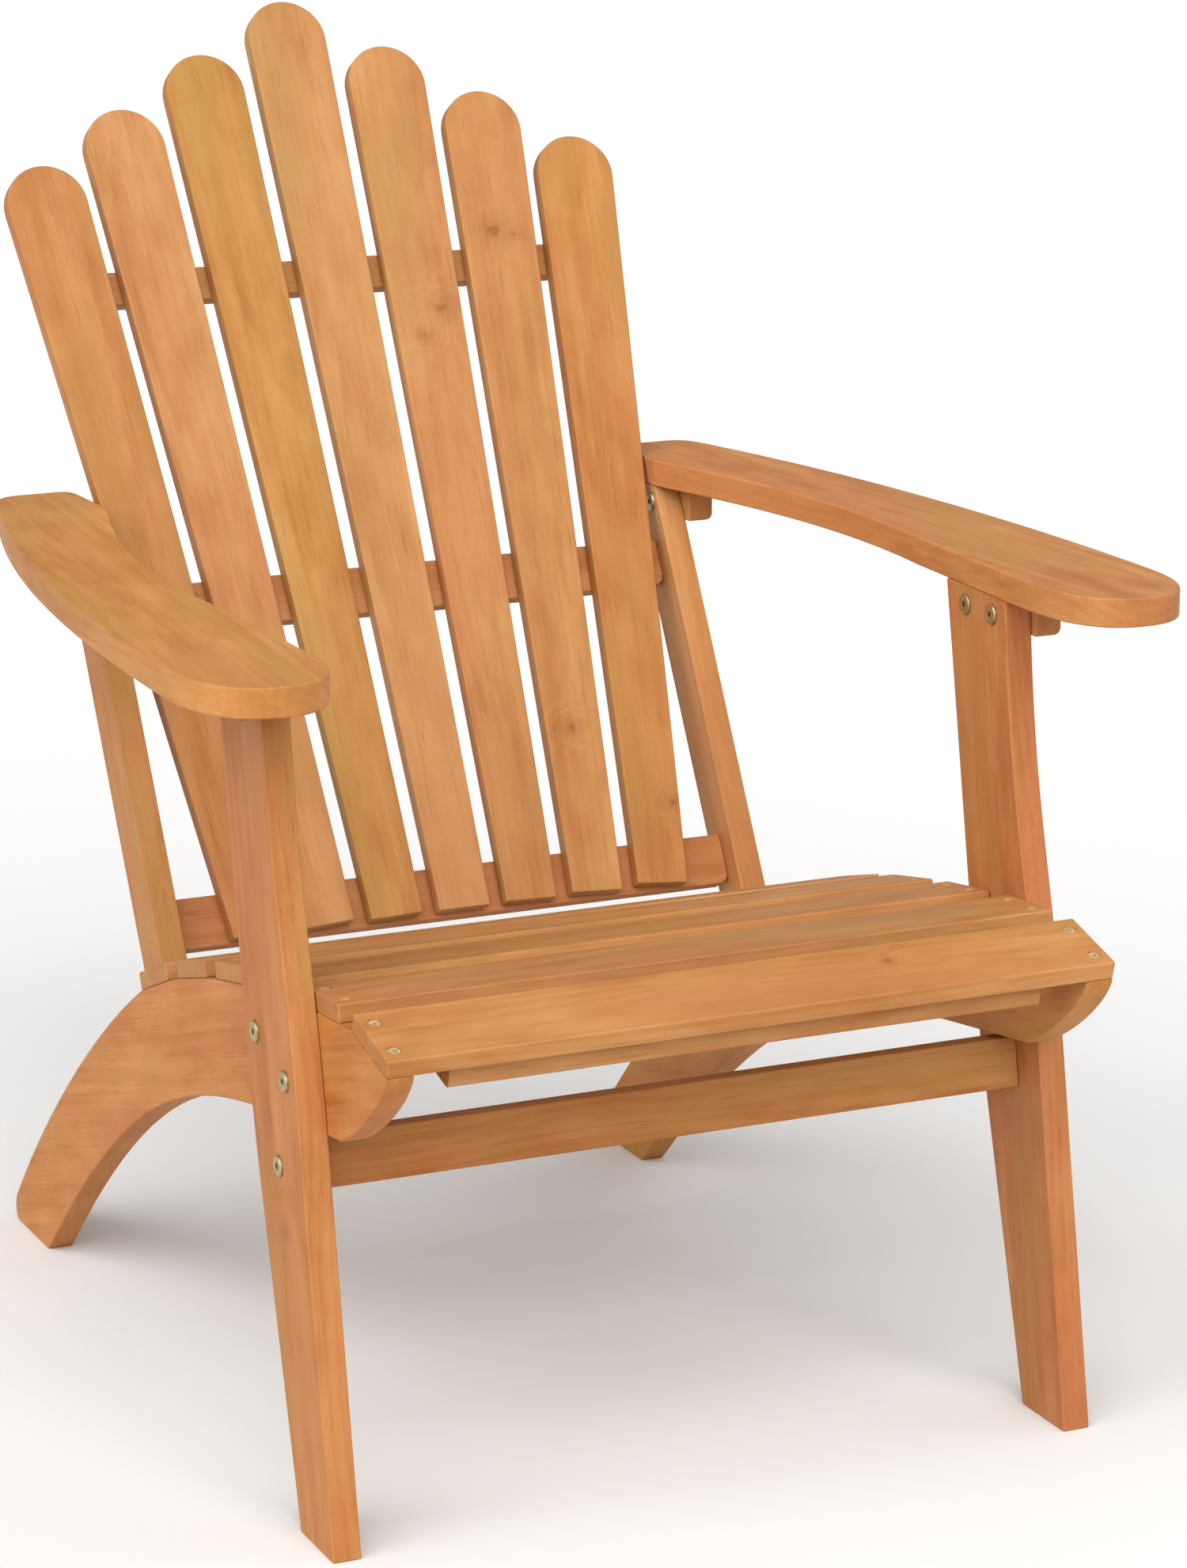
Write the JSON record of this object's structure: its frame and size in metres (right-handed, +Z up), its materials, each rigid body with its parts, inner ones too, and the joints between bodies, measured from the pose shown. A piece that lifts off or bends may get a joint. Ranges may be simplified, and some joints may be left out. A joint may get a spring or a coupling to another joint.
{
  "type": "adirondack chair",
  "caption": "Slatted wooden garden armchair with a fanned, leaning back of round-topped slats, a curved seat on arched side rails, wide paddle arms and bolted front legs",
  "frame": {"origin": "on the floor, midway between the arms and midway between the front slat's edge and the top of the back (bottom centre of the bounding box)", "axes": "+Z up, -Y is the front of the chair, +X to the right as seen from the front"},
  "size_m": [0.71, 0.8534, 0.9247],
  "materials": {
    "wood_board": "oiled, satin, eased edges",
    "wood_slat": "oiled, satin, eased edges",
    "dowel_wood": "plain beech",
    "bolt_metal": "satin, yellow-plated",
    "screw_metal": "satin, yellow-plated"
  },
  "bodies": {
    "root": {"side_rail_left": "wood_board", "side_rail_right": "wood_board", "front_leg_left": "wood_board", "front_leg_right": "wood_board", "front_apron": "wood_board", "back_post_left": "wood_board", "back_post_right": "wood_board", "arm_left": "wood_board", "arm_right": "wood_board", "front_cleat_left": "wood_board", "front_cleat_right": "wood_board", "rear_cleat_left": "wood_board", "rear_cleat_right": "wood_board", "crossbar_bottom": "wood_board", "crossbar_middle": "wood_board", "crossbar_top": "wood_board", "seat_batten": "wood_slat", "seat_slat_1": "wood_slat", "seat_slat_2": "wood_slat", "seat_slat_3": "wood_slat", "seat_slat_4": "wood_slat", "seat_slat_5": "wood_slat", "seat_slat_6": "wood_slat", "back_slat_1": "wood_slat", "back_slat_2": "wood_slat", "back_slat_3": "wood_slat", "back_slat_4": "wood_slat", "back_slat_5": "wood_slat", "back_slat_6": "wood_slat", "back_slat_7": "wood_slat", "leg_rail_bolts": "bolt_metal", "leg_rail_nuts": "bolt_metal", "leg_apron_bolts": "bolt_metal", "apron_barrel_nuts": "bolt_metal", "front_cleat_bolts": "bolt_metal", "rear_cleat_bolts": "bolt_metal", "post_rail_bolts": "bolt_metal", "seat_screws": "screw_metal", "batten_screws": "screw_metal", "back_screws": "screw_metal", "arm_screws": "screw_metal", "crossbar_dowels": "dowel_wood"}
  },
  "joints": []
}
